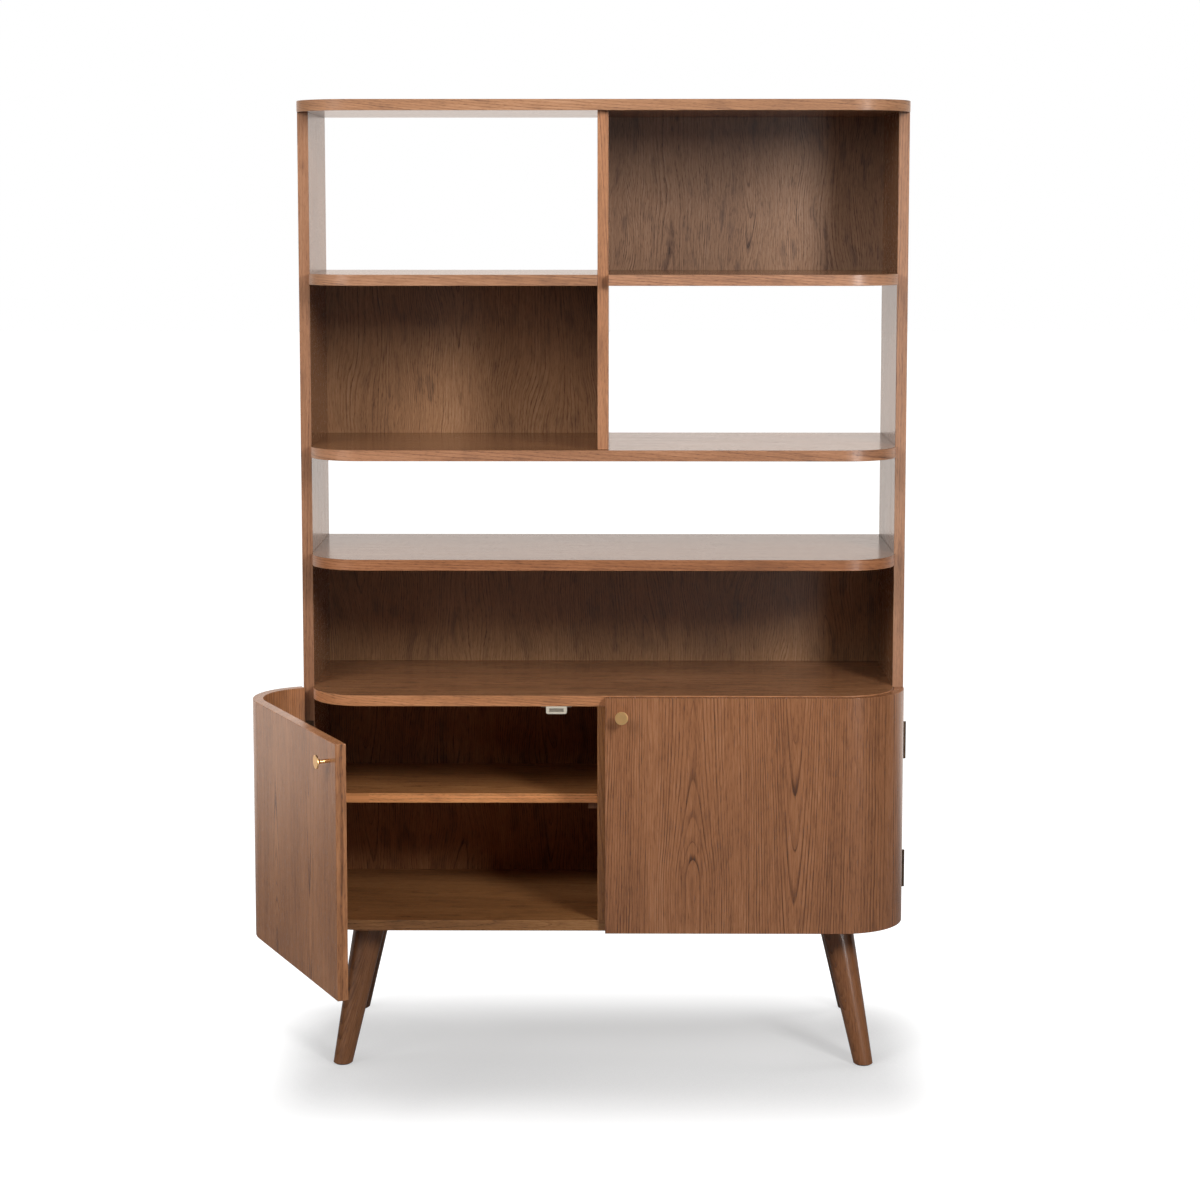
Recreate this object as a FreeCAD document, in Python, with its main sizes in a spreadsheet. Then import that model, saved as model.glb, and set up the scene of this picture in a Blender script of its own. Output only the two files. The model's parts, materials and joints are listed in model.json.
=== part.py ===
"""Bookcase with two bent cabinet doors on four splayed legs.

Millimetres.  +Z is up, the front looks along -Y, X = 0 is the middle of the width, Y = 0 the middle of
the carcass depth and Z = 0 the floor.  The left door stands open, the right one is closed.
"""
import FreeCAD, Part
import math
import os
import Sketcher
from FreeCAD import Rotation, Vector

# ------------------------------------------------------------------ driving dimensions (mm, degrees)
SIZES = {
    # carcass
    "overall_width": 1120,
    "carcass_depth": 400,
    "side_depth": 290,
    "board_thick": 20,
    "corner_straight": 10,
    "arris": 0.8,
    "leg_height": 260,
    "cabinet_clear": 400,
    "display_clear": 230,
    "strip_clear": 180,
    "middle_clear": 297,
    "upper_clear": 293,
    "divider_setback": 18,
    # backs
    "back_thick": 9,
    "back_inset": 1,
    "back_lap": 7,
    "back_fit": 0.2,
    "back_screw_pitch": 170,
    # loose shelves inside the cabinet
    "inner_shelf_thick": 18,
    "inner_shelf_drop": 186,
    "inner_shelf_play": 1,
    "cleat_width": 18,
    "cleat_height": 13,
    "cleat_setback": 12,
    # dowels
    "dowel_diameter": 8,
    "dowel_grip": 21,
    "dowel_margin": 45,
    "seat_floor": 1,
    "peg_fit": 0.1,
    # doors
    "door_clearance": 1,
    "door_top_drop": 1.5,
    "door_centre_gap": 8,
    "hinge_gap": 3,
    "left_door_open": 65,
    "right_door_open": 0,
    # hinges
    "hinge_height": 70,
    "knuckle_diameter": 6,
    "pin_diameter": 3,
    "pin_fit": 0.05,
    "knuckle_gap": 0.3,
    "leaf_thick": 1.2,
    "leaf_width": 18,
    "leaf_relief": 0.4,
    "upper_hinge_drop": 101,
    "lower_hinge_rise": 93,
    "hinge_screw_pitch": 24,
    # knobs
    "knob_diameter": 24,
    "knob_stem_diameter": 6.5,
    "knob_projection": 25,
    "knob_rim": 2.4,
    "knob_flare": 6.5,
    "knob_edge_offset": 30,
    "knob_drop": 32.5,
    "knob_screw_diameter": 4,
    "knob_screw_reach": 12,
    # magnetic catches
    "catch_offset": 85,
    "catch_width": 38,
    "catch_height": 14,
    "catch_depth": 22,
    "catch_ear_width": 57,
    "catch_ear_thick": 2,
    "catch_gap": 0.3,
    "pole_thick": 1.2,
    "magnet_thick": 4,
    "magnet_width": 26,
    "strike_width": 34,
    "strike_height": 13,
    "strike_thick": 1.2,
    # legs
    "leg_top_diameter": 60,
    "leg_foot_diameter": 36,
    "foot_offset": 485,
    "front_foot_setback": 28,
    "rear_foot_setback": 16,
    "leg_lean": 49,
    "glide_thick": 2,
    "glide_margin": 4,
    "plate_size": 70,
    "plate_thick": 3,
    "plate_screw_margin": 8,
    "bolt_diameter": 8,
    "bolt_grip": 30,
    "bolt_end": 12,
    # wood screws
    "screw_diameter": 3,
    "screw_head_diameter": 5.6,
    "screw_length": 16,
    "cleat_screw_length": 25,
    "recess_depth": 0.9,
}

doc = FreeCAD.newDocument("Bookcase")
sheet = doc.addObject("Spreadsheet::Sheet", "Sizes")
for row, (alias, number) in enumerate(SIZES.items(), start=1):
    sheet.set(f"A{row}", alias)
    sheet.set(f"B{row}", str(number))
    sheet.setAlias(f"B{row}", alias)
doc.recompute()


# ------------------------------------------------------------------ sizes that carry their expression
class Size:
    """A size with the expression that gives it from the sheet, and its present value."""

    def __init__(self, rule, value):
        self.rule = rule
        self.value = value

    def _join(self, other, sign, value):
        return Size(f"({self.rule} {sign} {size(other).rule})", value)

    def __add__(self, other):
        return self._join(other, "+", self.value + size(other).value)

    def __sub__(self, other):
        return self._join(other, "-", self.value - size(other).value)

    def __mul__(self, other):
        return self._join(other, "*", self.value * size(other).value)

    def __truediv__(self, other):
        return self._join(other, "/", self.value / size(other).value)

    def __radd__(self, other):
        return size(other) + self

    def __rsub__(self, other):
        return size(other) - self

    def __rmul__(self, other):
        return size(other) * self

    def __neg__(self):
        return size(0) - self


def size(number):
    """Wrap a plain number; a Size stays as it is."""
    return number if isinstance(number, Size) else Size(repr(number), number)


def cell(alias):
    return Size(f"Sizes.{alias}", float(sheet.get(alias)))


def bind(item, **rules):
    """Tie properties to the sheet; a double underscore in a name stands for a dot."""
    for name, rule in rules.items():
        item.setExpression(name.replace("__", "."), size(rule).rule)
    return item


def move(item, x=0, y=0, z=0):
    return bind(item, Placement__Base__x=x, Placement__Base__y=y, Placement__Base__z=z)


# ------------------------------------------------------------------ planes and levels
width_half = cell("overall_width") / 2
board = cell("board_thick")
inner_half = width_half - board
board_half = board / 2

back = cell("carcass_depth") / 2
front = -back
side_front = back - cell("side_depth")
projection = cell("carcass_depth") - cell("side_depth")
shelf_radius = projection - cell("corner_straight")
back_face = back - cell("back_inset")
back_front = back_face - cell("back_thick")

bottom_z = cell("leg_height")
cabinet_floor_z = bottom_z + board
cabinet_top_z = cabinet_floor_z + cell("cabinet_clear")
lower_z = cabinet_top_z + board + cell("display_clear")
middle_z = lower_z + board + cell("strip_clear")
upper_z = middle_z + board + cell("middle_clear")
crown_z = upper_z + board + cell("upper_clear")

door_top = cabinet_top_z + board - cell("door_top_drop")
door_inner = front - cell("door_clearance")
door_outer = front - board
door_thick = board - cell("door_clearance")
door_edge = cell("door_centre_gap") / 2

knuckle_radius = cell("knuckle_diameter") / 2
pivot_x = width_half + knuckle_radius
pivot_y = side_front - cell("hinge_gap") / 2

nodes = {}


def keep(name, item):
    """Give a finished sub-part its own label, which is also its file name."""
    item.Label = name
    nodes[name] = item
    return item


# ------------------------------------------------------------------ building blocks
def profile(sketch, corners):
    """Draw a closed outline of upright and level lines; a corner is (x, y) or (x, y, radius).

    Each line is held at its distance from the origin and each rounded corner by its radius.
    """
    corners = [(size(c[0]), size(c[1]), size(c[2]) if len(c) > 2 else None) for c in corners]
    count = len(corners)
    points = [Vector(x.value, y.value, 0) for x, y, _ in corners]
    starts, ends, arcs = [], [], []
    for i, (_, _, radius) in enumerate(corners):
        before = (points[i - 1] - points[i]).normalize()
        after = (points[(i + 1) % count] - points[i]).normalize()
        reach = radius.value if radius else 0
        ends.append(points[i] + before * reach)
        starts.append(points[i] + after * reach)
        arcs.append((before + after) * reach)
    for i in range(count):
        sketch.addGeometry(Part.LineSegment(starts[i], ends[(i + 1) % count]))
    for i in range(count):
        hold_line(sketch, i, corners[i], corners[(i + 1) % count])
    for i, (_, _, radius) in enumerate(corners):
        previous = (i - 1) % count
        if radius:
            round_corner(sketch, previous, i, points[i] + arcs[i], ends[i], starts[i], radius)
        else:
            sketch.addConstraint(Sketcher.Constraint("Coincident", previous, 2, i, 1))


def hold_line(sketch, line, start, end):
    """Keep a line level or upright at its distance from the origin."""
    upright = abs(start[0].value - end[0].value) < 1e-9
    place, kind = (start[0], "DistanceX") if upright else (start[1], "DistanceY")
    sketch.addConstraint(Sketcher.Constraint("Vertical" if upright else "Horizontal", line))
    if abs(place.value) < 1e-9:
        sketch.addConstraint(Sketcher.Constraint("PointOnObject", line, 1, -2 if upright else -1))
        return
    ends = (-1, 1, line, 1) if place.value > 0 else (line, 1, -1, 1)
    index = sketch.addConstraint(Sketcher.Constraint(kind, *ends, abs(place.value)))
    name_and_bind(sketch, index, f"line{line}", place if place.value > 0 else -place)


def round_corner(sketch, before, after, centre, begin, finish, radius):
    """Join two lines with a tangent arc, which a sketch always draws anticlockwise."""
    circle = Part.Circle(centre, Vector(0, 0, 1), radius.value)
    turns_left = (begin - centre).cross(finish - centre).z > 0
    low, high = (begin, finish) if turns_left else (finish, begin)
    low_angle, high_angle = (math.atan2(p.y - centre.y, p.x - centre.x) for p in (low, high))
    if high_angle < low_angle:
        high_angle += 2 * math.pi
    arc = sketch.addGeometry(Part.ArcOfCircle(circle, low_angle, high_angle))
    first, last = (1, 2) if turns_left else (2, 1)
    sketch.addConstraint(Sketcher.Constraint("Tangent", before, 2, arc, first))
    sketch.addConstraint(Sketcher.Constraint("Tangent", arc, last, after, 1))
    index = sketch.addConstraint(Sketcher.Constraint("Radius", arc, radius.value))
    name_and_bind(sketch, index, f"radius{after}", radius)


def name_and_bind(sketch, index, name, rule):
    sketch.renameConstraint(index, name)
    sketch.setExpression(f"Constraints.{name}", rule.rule)


def new_sketch(body, role="XY_Plane"):
    sketch = body.newObject("Sketcher::SketchObject", "Outline")
    plane = [item for item in body.Origin.OriginFeatures if item.Role == role][0]
    sketch.AttachmentSupport = [(plane, "")]
    sketch.MapMode = "FlatFace"
    return sketch


def slab(name, corners, low, high, arris=True):
    """A flat piece: an outline seen from above, raised from one level to another, edges eased."""
    body = doc.addObject("PartDesign::Body", name)
    sketch = new_sketch(body)
    profile(sketch, corners)
    pad = body.newObject("PartDesign::Pad", "Pad")
    pad.Profile = sketch
    bind(pad, Length=high - low)
    if arris:
        doc.recompute()
        ease = body.newObject("PartDesign::Fillet", "Arris")
        ease.Base = (pad, ["Face1"])
        ease.UseAllEdges = True
        bind(ease, Radius=cell("arris"))
    return move(body, z=low)


def rectangle(x0, x1, y0, y1):
    return [(x0, y0), (x1, y0), (x1, y1), (x0, y1)]


def block(name, x0, x1, y0, y1, z0, z1):
    item = doc.addObject("Part::Box", name)
    bind(item, Length=x1 - x0, Width=y1 - y0, Height=z1 - z0)
    return move(item, x0, y0, z0)


TURNS = {
    "+x": Rotation(Vector(0, 1, 0), 90),
    "-x": Rotation(Vector(0, 1, 0), -90),
    "+y": Rotation(Vector(1, 0, 0), -90),
    "-y": Rotation(Vector(1, 0, 0), 90),
    "+z": Rotation(),
    "-z": Rotation(Vector(1, 0, 0), 180),
}
STEPS = {
    "+x": (1, 0, 0),
    "-x": (-1, 0, 0),
    "+y": (0, 1, 0),
    "-y": (0, -1, 0),
    "+z": (0, 0, 1),
    "-z": (0, 0, -1),
}


def rod(name, start, way, radius, length):
    """A round bar that starts at a point and runs one of the six ways."""
    item = doc.addObject("Part::Cylinder", name)
    bind(item, Radius=radius, Height=length)
    item.Placement.Rotation = TURNS[way]
    return move(item, *start)


def taper(name, start, way, radius, end_radius, length):
    item = doc.addObject("Part::Cone", name)
    bind(item, Radius1=radius, Radius2=end_radius, Height=length)
    item.Placement.Rotation = TURNS[way]
    return move(item, *start)


def along(start, way, distance):
    """The point that lies some way along from a start point."""
    moved = [size(value) + step * distance if step else value for value, step in zip(start, STEPS[way])]
    return tuple(moved)


def slanted(name, stations):
    """A round bar or taper whose level sections have their centres and radii at given heights."""
    rings = []
    for x, y, z, radius in stations:
        ring = doc.addObject("Part::Circle", name + "_ring")
        bind(ring, Radius=radius)
        rings.append(move(ring, x, y, z))
    item = doc.addObject("Part::Loft", name)
    item.Sections = rings
    item.Solid = True
    item.Ruled = True
    return item


def group(name, items):
    item = doc.addObject("Part::Compound", name)
    item.Links = items
    return item


def fuse(name, items):
    item = doc.addObject("Part::MultiFuse", name)
    item.Shapes = items
    return item


def cut(name, base, tools):
    """Take tools away from a piece; a piece with no tools stays as it is."""
    if not tools:
        return base
    item = doc.addObject("Part::Cut", name)
    item.Base = base
    item.Tool = group(name + "_tools", tools)
    return item


def revolved(name, corners):
    """A turned piece: its half outline on the XY plane, turned about the Y axis."""
    body = doc.addObject("PartDesign::Body", name)
    sketch = new_sketch(body)
    profile(sketch, corners)
    turning = body.newObject("PartDesign::Revolution", "Turning")
    turning.Profile = sketch
    turning.ReferenceAxis = (sketch, ["V_Axis"])
    turning.Angle = 360
    return body


# ------------------------------------------------------------------ wood screws
def screw_shape(diameter, head_diameter, length, recess):
    """One countersunk screw with a cross recess: head flush at the origin, shank along +Z."""
    head_height = (head_diameter - diameter) / 2
    point = diameter
    shank = Part.makeCylinder(diameter / 2, length - head_height - point, Vector(0, 0, head_height))
    tip = Part.makeCone(diameter / 2, diameter / 8, point, Vector(0, 0, length - point))
    solid = Part.makeCone(head_diameter / 2, diameter / 2, head_height).fuse([shank, tip])
    arm, slot = head_diameter * 0.3, diameter * 0.2
    for long_side, short_side in ((arm, slot), (slot, arm)):
        corner = Vector(-long_side, -short_side, -recess)
        solid = solid.cut(Part.makeBox(2 * long_side, 2 * short_side, 2 * recess, corner))
    return solid.removeSplitter()


class ScrewSet:
    """Identical screws that share one node, with the holes that they need."""

    def __init__(self, name, length, diameter=None, head=None):
        self.name = name
        self.length = length
        self.diameter = diameter or cell("screw_diameter")
        self.head = head or cell("screw_head_diameter")
        self.spots = []

    def add(self, start, way):
        """Place a screw with its head flush at a point, and return its hole."""
        self.spots.append((tuple(size(value) for value in start), way))
        radius = self.diameter / 2 + cell("peg_fit")
        head_radius = self.head / 2 + cell("peg_fit")
        shank = rod(self.name + "_hole", start, way, radius, self.length + cell("peg_fit"))
        sink = taper(self.name + "_sink", start, way, head_radius, radius, head_radius - radius)
        return fuse(self.name + "_bore", [shank, sink])

    def finish(self):
        recess = cell("recess_depth")
        one = screw_shape(self.diameter.value, self.head.value, self.length.value, recess.value)
        copies = []
        for start, way in self.spots:
            copy = one.copy()
            copy.Placement = FreeCAD.Placement(Vector(*(value.value for value in start)), TURNS[way])
            copies.append(copy)
        item = doc.addObject("Part::Feature", self.name)
        item.Shape = Part.makeCompound(copies)
        return keep(self.name, item)


# ------------------------------------------------------------------ dowels
dowels = []
holes = {}


def drill(names, tool):
    for name in names:
        holes.setdefault(name, []).append(tool)


dowel_seat = board_half - cell("seat_floor")


def peg(seat_board, end_board, x, y, z, way):
    """A dowel from a blind seat in one board's face into another board's end."""
    start = along((x, y, z), way, -dowel_seat)
    length = dowel_seat + cell("dowel_grip")
    radius = cell("dowel_diameter") / 2
    fit = cell("peg_fit")
    dowels.append(rod("dowel", start, way, radius, length))
    bore = rod("dowel_bore", along(start, way, -fit), way, radius + fit, length + 2 * fit)
    drill((seat_board, end_board), bore)


peg_rows = (side_front + cell("dowel_margin"), back - cell("dowel_margin"))


def shelf_pegs(shelf, z, left_board, left_x, right_board, right_x):
    for y in peg_rows:
        peg(left_board, shelf, left_x, y, z + board_half, "+x")
        peg(right_board, shelf, right_x, y, z + board_half, "-x")


def upright_pegs(upright, x, low_board, low_z, high_board, high_z):
    for y in peg_rows:
        if low_board:
            peg(low_board, upright, x, y, low_z, "+z")
        peg(high_board, upright, x, y, high_z, "-z")


shelf_pegs("shelf_upper_left", upper_z, "side_panel_left", -inner_half, "centre_divider", -board_half)
shelf_pegs("shelf_upper_right", upper_z, "centre_divider", board_half, "side_panel_right", inner_half)
FULL_SHELVES = {
    "shelf_middle": middle_z,
    "shelf_lower": lower_z,
    "cabinet_top": cabinet_top_z,
    "cabinet_bottom": bottom_z,
}
for name, level in FULL_SHELVES.items():
    shelf_pegs(name, level, "side_panel_left", -inner_half, "side_panel_right", inner_half)
for name, sign in (("side_panel_left", -1), ("side_panel_right", 1)):
    upright_pegs(name, sign * (width_half - board_half), None, None, "top_board", crown_z)
upright_pegs("centre_divider", 0, "shelf_middle", middle_z + board, "top_board", crown_z)
upright_pegs("cabinet_partition", 0, "cabinet_bottom", cabinet_floor_z, "cabinet_top", cabinet_top_z)
keep("dowels", group("dowels", dowels))


# ------------------------------------------------------------------ back panels in their rebates
back_screws = ScrewSet("back_panel_screws", cell("screw_length"))


def spread(low, high, pitch):
    """Evenly spaced places from low to high, about one pitch apart."""
    steps = max(1, round((high.value - low.value) / pitch.value))
    return [low + (high - low) * (i / steps) for i in range(steps + 1)]


def back_panel(name, x0, x1, z0, z1, neighbours):
    """A thin panel that laps onto the boards round an opening and is screwed on from behind."""
    lap, fit = cell("back_lap"), cell("back_fit")
    panel = block(name + "_blank", x0 - lap, x1 + lap, back_front, back_face, z0 - lap, z1 + lap)
    rebate = block(name + "_rebate", x0 - lap - fit, x1 + lap + fit, back_front, back + fit,
                   z0 - lap - fit, z1 + lap + fit)
    drill(neighbours, rebate)
    edge = lap / 2
    pitch = cell("back_screw_pitch")
    bores = []
    for x in spread(x0 + board, x1 - board, pitch):
        for z in (z0 - edge, z1 + edge):
            bores.append(back_screws.add((x, back_face, z), "-y"))
    for z in spread(z0 + board * 2, z1 - board * 2, pitch):
        for x in (x0 - edge, x1 + edge):
            bores.append(back_screws.add((x, back_face, z), "-y"))
    drill(neighbours, group(name + "_bores", bores))
    keep(name, cut(name, panel, bores))


back_panel("back_panel_upper_right", board_half, inner_half, upper_z + board, crown_z,
           ("top_board", "shelf_upper_right", "centre_divider", "side_panel_right"))
back_panel("back_panel_middle_left", -inner_half, -board_half, middle_z + board, upper_z,
           ("shelf_upper_left", "shelf_middle", "centre_divider", "side_panel_left"))
back_panel("back_panel_lower", -inner_half, inner_half, cabinet_top_z + board, lower_z,
           ("shelf_lower", "cabinet_top", "side_panel_left", "side_panel_right"))
back_panel("back_panel_cabinet", -inner_half, inner_half, cabinet_floor_z, cabinet_top_z,
           ("cabinet_top", "cabinet_bottom", "side_panel_left", "side_panel_right"))
back_screws.finish()


# ------------------------------------------------------------------ loose shelves and their cleats
cleat_screws = ScrewSet("cleat_screws", cell("cleat_screw_length"))
inner_shelf_low = cabinet_top_z - cell("inner_shelf_drop") - cell("inner_shelf_thick")
play = cell("inner_shelf_play")


def inner_shelf(name, x0, x1):
    keep(name, slab(name, rectangle(x0 + play, x1 - play, side_front, back_front - play),
                    inner_shelf_low, inner_shelf_low + cell("inner_shelf_thick")))


def cleat(name, wall, x, way):
    """A batten screwed sideways to an upright; it reaches from the upright's face into the opening."""
    reach = cell("cleat_width")
    x0, x1 = (x, x + reach) if way == "-x" else (x - reach, x)
    y0 = side_front + cell("cleat_setback")
    y1 = back_front - cell("cleat_setback")
    low = inner_shelf_low - cell("cleat_height")
    blank = slab(name + "_blank", rectangle(x0, x1, y0, y1), low, inner_shelf_low)
    bores = []
    for y in (y0 + cell("dowel_margin"), y1 - cell("dowel_margin")):
        head = (x1 if way == "-x" else x0, y, inner_shelf_low - cell("cleat_height") / 2)
        bores.append(cleat_screws.add(head, way))
    drill((wall,), group(name + "_bores", bores))
    keep(name, cut(name, blank, bores))


inner_shelf("cabinet_shelf_left", -inner_half, -board_half)
inner_shelf("cabinet_shelf_right", board_half, inner_half)
cleat("shelf_cleat_left_outer", "side_panel_left", -inner_half, "-x")
cleat("shelf_cleat_left_inner", "cabinet_partition", -board_half, "+x")
cleat("shelf_cleat_right_inner", "cabinet_partition", board_half, "-x")
cleat("shelf_cleat_right_outer", "side_panel_right", inner_half, "+x")
cleat_screws.finish()


# ------------------------------------------------------------------ legs, plates, bolts and glides
plate_screws = ScrewSet("leg_plate_screws", cell("screw_length"))
leg_top_z = bottom_z - cell("plate_thick")
glide_top = cell("glide_thick")
bolts, glides = [], []


def leg(name, across, along_depth, foot_y):
    """A tapered leg that leans outwards both ways; across and along_depth are the signs of its corner."""
    foot_x = across * cell("foot_offset")
    lean_x, lean_y = -across * cell("leg_lean"), -along_depth * cell("leg_lean")
    rise = leg_top_z - glide_top

    def axis(z):
        share = (z - glide_top) / rise
        return foot_x + lean_x * share, foot_y + lean_y * share, z

    foot, top = cell("leg_foot_diameter") / 2, cell("leg_top_diameter") / 2
    ease = cell("arris")
    blank = slanted(name + "_blank", [
        (*axis(glide_top), foot - ease),
        (*axis(glide_top + ease), foot),
        (*axis(leg_top_z), top),
    ])
    bolt_radius, fit = cell("bolt_diameter") / 2, cell("peg_fit")
    bolt_low, bolt_high = leg_top_z - cell("bolt_grip"), bottom_z + cell("bolt_end")
    bolts.append(slanted("leg_bolt", [(*axis(bolt_low), bolt_radius), (*axis(bolt_high), bolt_radius)]))
    bore = slanted("leg_bolt_bore", [
        (*axis(bolt_low - fit), bolt_radius + fit),
        (*axis(bolt_high + fit), bolt_radius + fit),
    ])
    keep(name, cut(name, blank, [bore]))
    glides.append(rod("glide", (foot_x, foot_y, 0), "+z", foot - cell("glide_margin"), glide_top))

    centre_x, centre_y, _ = axis(leg_top_z)
    half = cell("plate_size") / 2
    reach = half - cell("plate_screw_margin")
    corner = cell("plate_screw_margin")
    outline = [(x, y, corner) for x, y in rectangle(-half, half, -half, half)]
    plate = slab(name + "_plate_blank", outline, leg_top_z, bottom_z, arris=False)
    move(plate, centre_x, centre_y, leg_top_z)
    screws = [plate_screws.add((centre_x + dx, centre_y + dy, leg_top_z), "+z")
              for dx in (-reach, reach) for dy in (-reach, reach)]
    drill(("cabinet_bottom",), group(name + "_bores", screws + [bore]))
    plate_name = name.replace("leg_", "leg_plate_")
    keep(plate_name, cut(plate_name, plate, screws + [bore]))


front_foot = front + cell("front_foot_setback")
rear_foot = back - cell("rear_foot_setback")
leg("leg_front_left", -1, -1, front_foot)
leg("leg_front_right", 1, -1, front_foot)
leg("leg_rear_left", -1, 1, rear_foot)
leg("leg_rear_right", 1, 1, rear_foot)
plate_screws.finish()
keep("leg_bolts", group("leg_bolts", bolts))
keep("foot_glides", group("foot_glides", glides))


# ------------------------------------------------------------------ magnetic catches under the cabinet top
catch_screws = ScrewSet("catch_screws", cell("screw_length"))
catch_face = door_inner + cell("strike_thick") + cell("catch_gap")


def catch(side, sign):
    """A plastic housing with two ears, and a magnet between two steel poles that show at its front."""
    x = sign * cell("catch_offset")
    half, ear = cell("catch_width") / 2, cell("catch_ear_width") / 2
    low = cabinet_top_z - cell("catch_height")
    rear = catch_face + cell("catch_depth")
    pole, magnet = cell("pole_thick"), cell("magnet_thick")
    magnet_half = cell("magnet_width") / 2
    middle = cabinet_top_z - cell("catch_height") / 2
    shell_name = f"catch_housing_{side}"

    body = doc.addObject("PartDesign::Body", shell_name + "_body")
    sketch = new_sketch(body, "XZ_Plane")
    radius = cell("catch_height") / 4
    profile(sketch, [(-half, 0), (-half, -cell("catch_height"), radius),
                     (half, -cell("catch_height"), radius), (half, 0)])
    pad = body.newObject("PartDesign::Pad", "Pad")
    pad.Profile = sketch
    bind(pad, Length=cell("catch_depth"))
    move(body, x, rear, cabinet_top_z)

    ears = slab(shell_name + "_ears", [
        (-ear, catch_face + radius, radius), (ear, catch_face + radius, radius),
        (ear, rear - radius, radius), (-ear, rear - radius, radius)],
        cabinet_top_z - cell("catch_ear_thick"), cabinet_top_z, arris=False)
    move(ears, x, 0, cabinet_top_z - cell("catch_ear_thick"))
    fit = cell("peg_fit")
    pocket_low, pocket_high = middle - magnet / 2 - pole - fit, middle + magnet / 2 + pole + fit
    pocket = block(shell_name + "_pocket", x - magnet_half - fit, x + magnet_half + fit,
                   catch_face - fit, rear - radius, pocket_low, pocket_high)
    ear_middle = (half + ear) / 2
    screws = [catch_screws.add((x + way * ear_middle, (catch_face + rear) / 2,
                                cabinet_top_z - cell("catch_ear_thick")), "+z") for way in (-1, 1)]
    drill(("cabinet_top",), group(shell_name + "_bores", screws))
    keep(shell_name, cut(shell_name, fuse(shell_name + "_shell", [body, ears]), [pocket] + screws))

    pole_rear = rear - radius - fit
    core = [
        block("pole_low", x - magnet_half, x + magnet_half, catch_face, pole_rear,
              middle - magnet / 2 - pole, middle - magnet / 2),
        block("magnet", x - magnet_half, x + magnet_half, catch_face + pole, pole_rear,
              middle - magnet / 2, middle + magnet / 2),
        block("pole_high", x - magnet_half, x + magnet_half, catch_face, pole_rear,
              middle + magnet / 2, middle + magnet / 2 + pole),
    ]
    keep(f"catch_magnet_{side}", group(f"catch_magnet_{side}", core))
    return middle


catch_middle = catch("left", -1)
catch("right", 1)
catch_screws.finish()


# ------------------------------------------------------------------ hinges
frame_screws = ScrewSet("hinge_frame_screws", cell("screw_length"))
hinge_levels = {
    "upper": door_top - cell("upper_hinge_drop") - cell("hinge_height") / 2,
    "lower": bottom_z + cell("lower_hinge_rise") - cell("hinge_height") / 2,
}
KNUCKLES = 5
pins = []


def hinge_leaf(name, pin_x, pin_y, low, inward, face, first, screw_set, screw_way):
    """A leaf against a face; inward and face are signs, and first picks its own knuckles.

    The leaf starts from the knuckle's axis at pin_x, pin_y and reaches inward across the board's edge.
    """
    pitch = cell("hinge_height") / KNUCKLES
    thick = cell("leaf_thick")
    gap = cell("knuckle_gap") / 2
    root = cell("knuckle_diameter") / 2 + cell("leaf_relief")
    tip = root + cell("leaf_width")
    y_face = pin_y + face * cell("hinge_gap") / 2
    y_inside = pin_y + face * (cell("hinge_gap") / 2 - thick)
    y0, y1 = (y_inside, y_face) if face > 0 else (y_face, y_inside)
    high = low + cell("hinge_height")

    def strip(label, near, far, z0, z1):
        a, b = pin_x + inward * near, pin_x + inward * far
        x0, x1 = (a, b) if inward > 0 else (b, a)
        return block(label, x0, x1, y0, y1, z0, z1)

    pieces = [strip(name + "_plate", root, tip, low, high)]
    for i in range(first, KNUCKLES, 2):
        z0 = low + pitch * i + (gap if i else 0)
        z1 = low + pitch * (i + 1) - (gap if i < KNUCKLES - 1 else 0)
        pieces.append(rod(name + "_knuckle", (pin_x, pin_y, z0), "+z", knuckle_radius, z1 - z0))
        pieces.append(strip(name + "_web", size(0), root, z0, z1))
    bore_radius = cell("pin_diameter") / 2 + cell("pin_fit")
    tools = [rod(name + "_pin_bore", (pin_x, pin_y, low - gap), "+z", bore_radius,
                 cell("hinge_height") + 2 * gap)]
    middle_x = pin_x + inward * (root + tip) / 2
    screws = [screw_set.add((middle_x, y_inside, low + cell("hinge_height") / 2 + step), screw_way)
              for step in (-cell("hinge_screw_pitch"), size(0), cell("hinge_screw_pitch"))]
    leaf = cut(name, fuse(name + "_blank", pieces), tools + screws)
    return leaf, group(name + "_bores", screws)


def frame_hinge(side, sign, level, low):
    name = f"hinge_frame_leaf_{side}_{level}"
    pin_x = sign * pivot_x
    leaf, bores = hinge_leaf(name, pin_x, pivot_y, low, -sign, 1, 0, frame_screws, "+y")
    drill((f"side_panel_{side}",), bores)
    keep(name, leaf)
    pin_radius = cell("pin_diameter") / 2
    pins.append(rod("hinge_pin", (pin_x, pivot_y, low), "+z", pin_radius, cell("hinge_height")))


for side, sign in (("left", -1), ("right", 1)):
    for level, low in hinge_levels.items():
        frame_hinge(side, sign, level, low)
frame_screws.finish()
keep("hinge_pins", group("hinge_pins", pins))


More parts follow.
